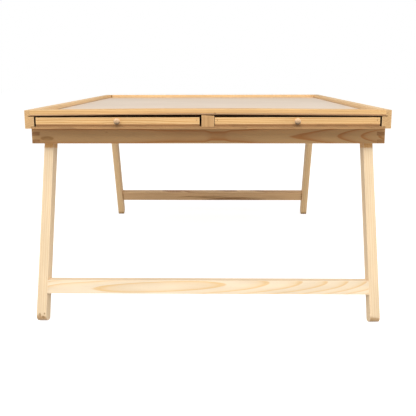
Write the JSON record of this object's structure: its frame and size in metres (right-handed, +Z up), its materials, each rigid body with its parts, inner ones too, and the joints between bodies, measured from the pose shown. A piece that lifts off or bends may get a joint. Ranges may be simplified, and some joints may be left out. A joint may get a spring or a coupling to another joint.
{
  "type": "folding tray table",
  "caption": "Low pine tray table: raised rim round a smooth panel, shallow drawers in the tray box, and splayed leg frames that fold in underneath.",
  "frame": {"origin": "on the floor, under the middle of the table", "axes": "+Z up, +X to the right across the front, -Y towards the drawer side"},
  "size_m": [0.6, 0.5274, 0.356],
  "materials": {
    "pine": "clear satin varnish on warm yellow pine",
    "pine_pale": "clear satin varnish on pale pine",
    "plywood": "thin plywood, sanded, brown edge",
    "panel": "smooth greige laminate over thin board, satin",
    "steel": "zinc-plated",
    "brass": "plain"
  },
  "bodies": {
    "table": {"side_rail_left": "pine", "side_rail_right": "pine", "front_rail": "pine", "rear_rail": "pine", "tray_panel": "panel", "bottom_board": "plywood", "divider_block": "pine_pale", "divider_runner": "pine", "drawer_stops": "pine", "rim_pins": "steel", "frame_front": "pine", "frame_rear": "pine", "frame_left": "pine", "frame_right": "pine", "frame_screws": "steel", "side_screws": "steel", "pivot_inserts": "brass", "pivot_bolts_front": "steel", "pivot_bolts_rear": "steel", "pivot_washers": "steel", "rear_spacers": "pine_pale"},
    "front_legs": {"leg_front_left": "pine_pale", "leg_front_right": "pine_pale", "front_stretcher": "pine_pale", "front_stretcher_dowels": "pine_pale"},
    "rear_legs": {"leg_rear_left": "pine_pale", "leg_rear_right": "pine_pale", "rear_stretcher": "pine_pale", "rear_stretcher_dowels": "pine_pale"},
    "drawer_left": {"drawer_left_front": "pine", "drawer_left_side_outer": "pine", "drawer_left_side_inner": "pine", "drawer_left_back": "pine", "drawer_left_bottom": "plywood", "drawer_left_knob": "pine_pale", "drawer_left_knob_screw": "steel", "drawer_left_pins": "steel"},
    "drawer_right": {"drawer_right_front": "pine", "drawer_right_side_outer": "pine", "drawer_right_side_inner": "pine", "drawer_right_back": "pine", "drawer_right_bottom": "plywood", "drawer_right_knob": "pine_pale", "drawer_right_knob_screw": "steel", "drawer_right_pins": "steel"}
  },
  "joints": [
    {"name": "front_legs_fold", "type": "hinge", "parent": "table", "child": "front_legs", "pos_m": [0, -0.18673, 0.3125], "axis": [1, 0, 0], "range_deg": [0, 83]},
    {"name": "rear_legs_fold", "type": "hinge", "parent": "table", "child": "rear_legs", "pos_m": [0, 0.18673, 0.3125], "axis": [-1, 0, 0], "range_deg": [0, 102]},
    {"name": "drawer_left_slide", "type": "slide", "parent": "table", "child": "drawer_left", "axis": [0, -1, 0], "range_m": [0, 0.26]},
    {"name": "drawer_right_slide", "type": "slide", "parent": "table", "child": "drawer_right", "axis": [0, -1, 0], "range_m": [0, 0.26]}
  ]
}
